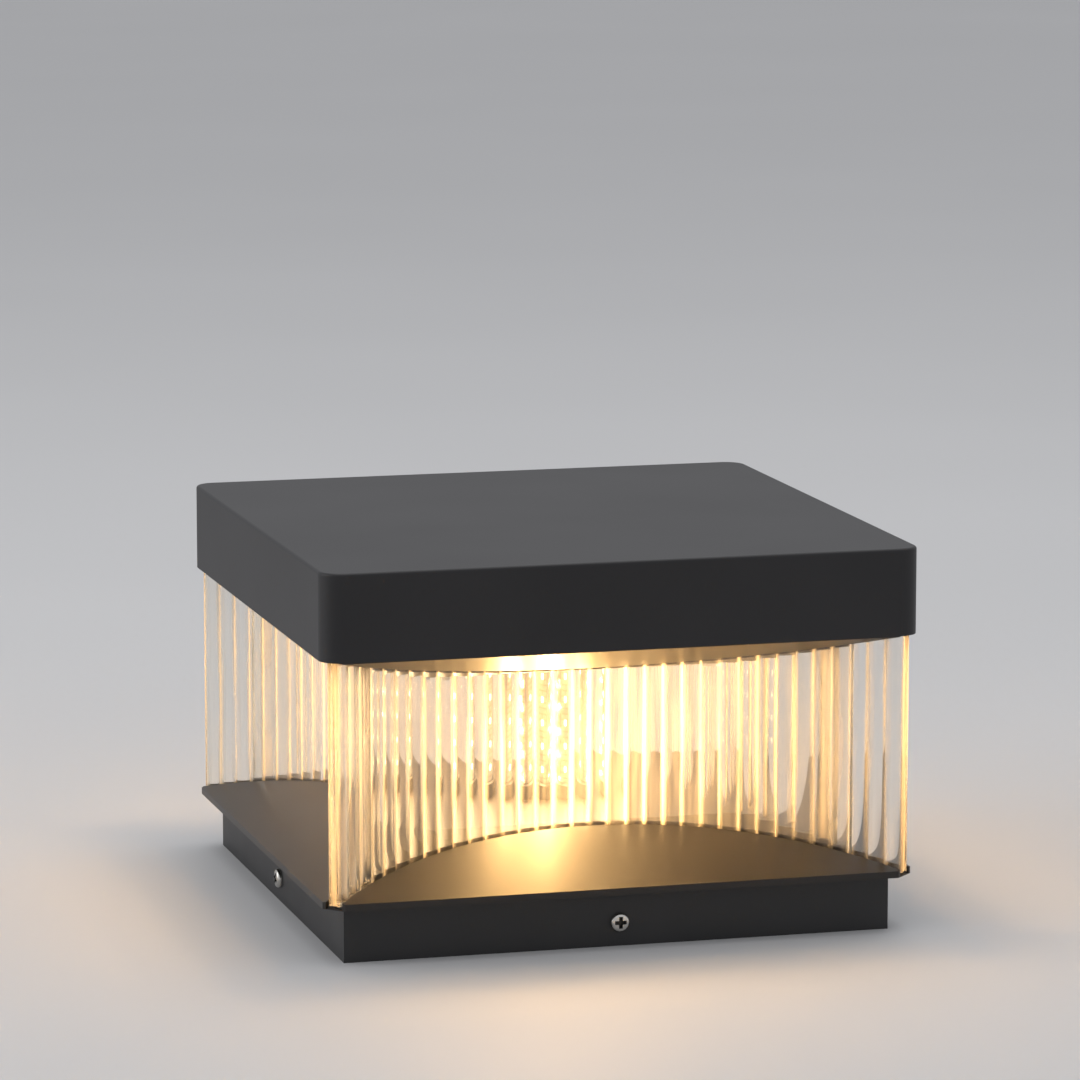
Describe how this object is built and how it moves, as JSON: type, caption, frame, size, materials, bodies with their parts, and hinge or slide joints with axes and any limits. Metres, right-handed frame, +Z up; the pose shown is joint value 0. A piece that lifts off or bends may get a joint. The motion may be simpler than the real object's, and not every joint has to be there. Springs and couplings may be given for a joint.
{
  "type": "deck post cap light",
  "caption": "Square post cap light: flat dark cap over a clear ribbed diffuser with inward-bowed sides, hipped deck and narrow plinth that slips over a fixing plate.",
  "frame": {"origin": "middle of the plinth's lower edge, on the plane of the post's top", "axes": "+Z up out of the post, -Y the front with the side screw that faces the camera, +X to the right seen from the front"},
  "size_m": [0.25, 0.25, 0.16],
  "materials": {
    "black_cast_aluminium": "die-cast, satin black powder coat",
    "black_powder_coat": "satin fine-texture powder coat",
    "clear_acrylic": "clear, moulded, glossy",
    "silicone_rubber": "matt",
    "zinc_plated_steel": "bright zinc plate",
    "stainless_steel": "bright stainless",
    "yellow_zinc_steel": "yellow zinc plate",
    "raw_aluminium": "extruded, satin",
    "white_board": "white solder mask",
    "warm_led": "warm white phosphor",
    "black_plastic": "fine matt moulding",
    "circuit_board": "green solder mask",
    "transformer_wrap": "yellow tape wrap",
    "terminal_plastic": "natural nylon",
    "cable_sheath": "matt sheath"
  },
  "bodies": {
    "fixing_plate": {"mounting_plate": "zinc_plated_steel", "cable_grommet": "silicone_rubber", "earth_screw": "yellow_zinc_steel"},
    "lamp": {"base_deck": "black_cast_aluminium", "column_foot": "black_plastic", "column_head": "black_plastic", "diffuser": "clear_acrylic", "driver_board": "circuit_board", "driver_case": "black_plastic", "driver_lid": "black_plastic", "driver_screws": "stainless_steel", "driver_transformer": "transformer_wrap", "gland_body": "black_plastic", "gland_nut": "black_plastic", "gland_seal": "silicone_rubber", "led_boards": "white_board", "led_chips": "warm_led", "led_column": "raw_aluminium", "led_lead": "cable_sheath", "lid_screws": "stainless_steel", "lower_seal": "silicone_rubber", "plinth_skirt": "black_powder_coat", "rod_nuts": "zinc_plated_steel", "rod_washers": "zinc_plated_steel", "side_nuts": "zinc_plated_steel", "skirt_screws": "stainless_steel", "soffit_plate": "black_cast_aluminium", "soffit_screws": "stainless_steel", "terminal_block": "terminal_plastic", "tie_rod": "zinc_plated_steel", "top_cap": "black_cast_aluminium", "upper_seal": "silicone_rubber"},
    "side_screw_front": {"side_screw_front": "stainless_steel"},
    "side_screw_right": {"side_screw_right": "stainless_steel"},
    "side_screw_rear": {"side_screw_rear": "stainless_steel"},
    "side_screw_left": {"side_screw_left": "stainless_steel"}
  },
  "joints": [
    {"name": "lamp_lift", "type": "slide", "parent": "fixing_plate", "child": "lamp", "axis": [0, 0, 1], "range_m": [0, 0.04]},
    {"name": "side_screw_front_turn", "type": "hinge", "parent": "lamp", "child": "side_screw_front", "pos_m": [0, -0.115, 0.01], "axis": [0, -1, 0], "continuous": true},
    {"name": "side_screw_right_turn", "type": "hinge", "parent": "lamp", "child": "side_screw_right", "pos_m": [0.115, 0, 0.01], "axis": [1, 0, 0], "continuous": true},
    {"name": "side_screw_rear_turn", "type": "hinge", "parent": "lamp", "child": "side_screw_rear", "pos_m": [0, 0.115, 0.01], "axis": [0, 1, 0], "continuous": true},
    {"name": "side_screw_left_turn", "type": "hinge", "parent": "lamp", "child": "side_screw_left", "pos_m": [-0.115, 0, 0.01], "axis": [-1, 0, 0], "continuous": true}
  ]
}
